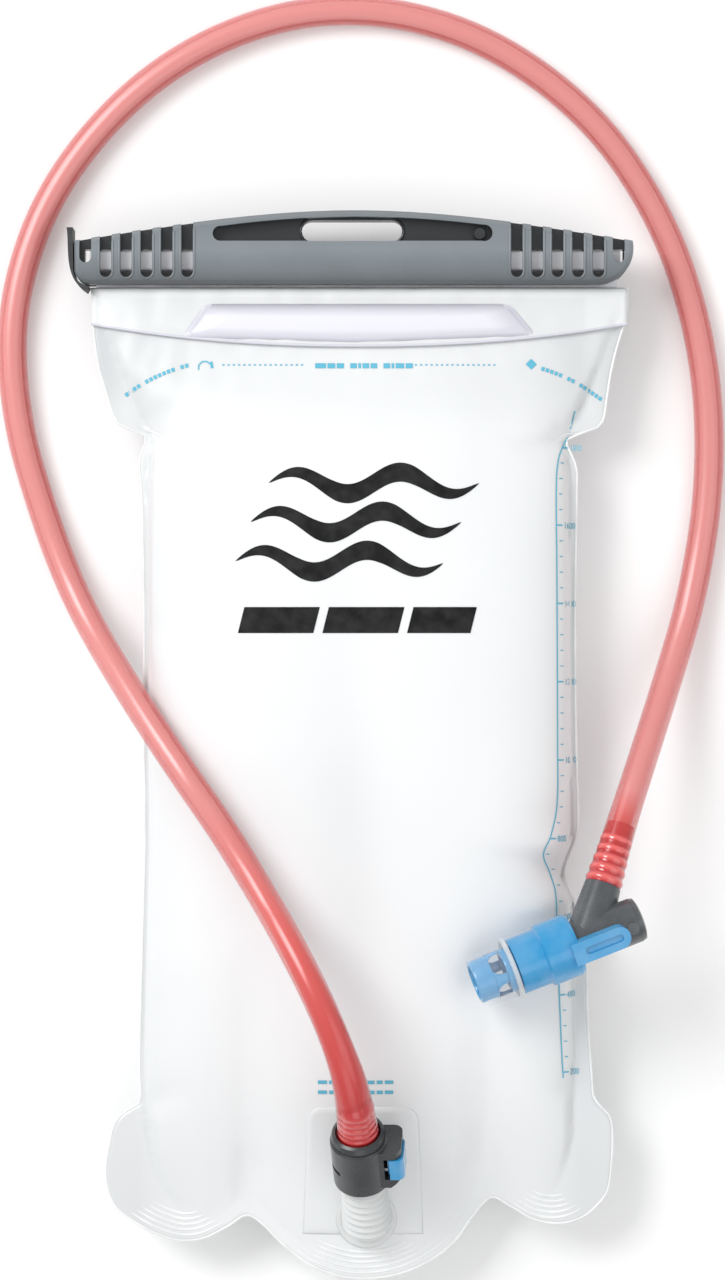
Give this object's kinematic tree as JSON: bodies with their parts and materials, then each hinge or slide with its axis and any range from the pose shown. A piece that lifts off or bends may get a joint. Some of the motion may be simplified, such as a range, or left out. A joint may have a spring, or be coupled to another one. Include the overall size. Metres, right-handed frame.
{
  "type": "hydration bladder",
  "caption": "Soft water reservoir with a slide-off seal bar, quick-release outlet, red drinking hose and a twist-lock bite valve.",
  "frame": {"origin": "on the surface the bag lies on, under the middle of its width and length", "axes": "+X across the bag, to the right seen from the front panel; +Y up the bag towards the slide seal; +Z out of the front panel"},
  "size_m": [0.2462, 0.4328, 0.0756],
  "materials": {
    "film": "translucent milky TPU film, soft satin",
    "white_moulding": "white moulded polypropylene, satin",
    "clear_silicone": "translucent silicone, soft gloss",
    "dark_moulding": "dark grey moulded acetal, satin",
    "grey_moulding": "mid grey moulded nylon, satin",
    "blue_moulding": "sky blue moulded acetal, soft gloss",
    "red_tube": "translucent red polyurethane tube",
    "seal_rubber": "black rubber",
    "spring_steel": "stainless spring steel"
  },
  "bodies": {
    "reservoir": {"front_film": "film", "back_film": "film", "perimeter_weld": "film", "centre_baffle": "film", "seal_rail": "white_moulding", "mouth_flap": "film", "front_stiffener": "white_moulding", "back_stiffener": "white_moulding", "port_patch": "film", "port_bellows": "clear_silicone", "port_socket": "white_moulding", "poppet_spring": "spring_steel"},
    "poppet": {"poppet_valve": "white_moulding"},
    "slide_seal": {"slide_bar": "grey_moulding", "end_lip": "seal_rubber", "tether_peg": "dark_moulding"},
    "hose": {"coupling_body": "dark_moulding", "hose_collar": "dark_moulding", "plug_stem": "dark_moulding", "plug_o_ring": "seal_rubber", "drink_tube": "red_tube", "elbow_body": "dark_moulding", "elbow_end_cap": "dark_moulding", "button_spring": "spring_steel"},
    "release": {"release_button": "blue_moulding", "latch_plate": "spring_steel"},
    "shutoff": {"shutoff_collar": "blue_moulding", "shutoff_spool": "blue_moulding", "spool_o_ring": "seal_rubber", "mouthpiece_core": "blue_moulding"},
    "mouthpiece": {"bite_sheath": "clear_silicone"}
  },
  "joints": [
    {"name": "slide_off", "type": "slide", "parent": "reservoir", "child": "slide_seal", "axis": [-1, 0, 0], "range_m": [0, 0.19]},
    {"name": "unplug", "type": "slide", "parent": "reservoir", "child": "hose", "axis": [-0.07, 0.7628, 0.6428], "range_m": [0, 0.045]},
    {"name": "poppet_lift", "type": "slide", "parent": "reservoir", "child": "poppet", "axis": [-0.07, 0.7628, 0.6428], "range_m": [0, 0.003], "deforming": ["poppet_spring"]},
    {"name": "button_press", "type": "slide", "parent": "hose", "child": "release", "axis": [-0.9941, 0, -0.1082], "range_m": [0, 0.0015], "stiffness_N_per_m": 500, "deforming": ["button_spring"]},
    {"name": "shutoff_turn", "type": "hinge", "parent": "hose", "child": "shutoff", "pos_m": [0.075, -0.063, 0.046], "axis": [0.9291, 0.356, -0.1], "range_deg": [0, 90]},
    {"name": "mouthpiece_pull", "type": "slide", "parent": "shutoff", "child": "mouthpiece", "axis": [-0.9291, -0.356, 0.1], "range_m": [0, 0.02]}
  ],
  "couplings": [
    {"joint": "poppet_lift", "follows": "unplug", "ratio": 0.066666}
  ]
}
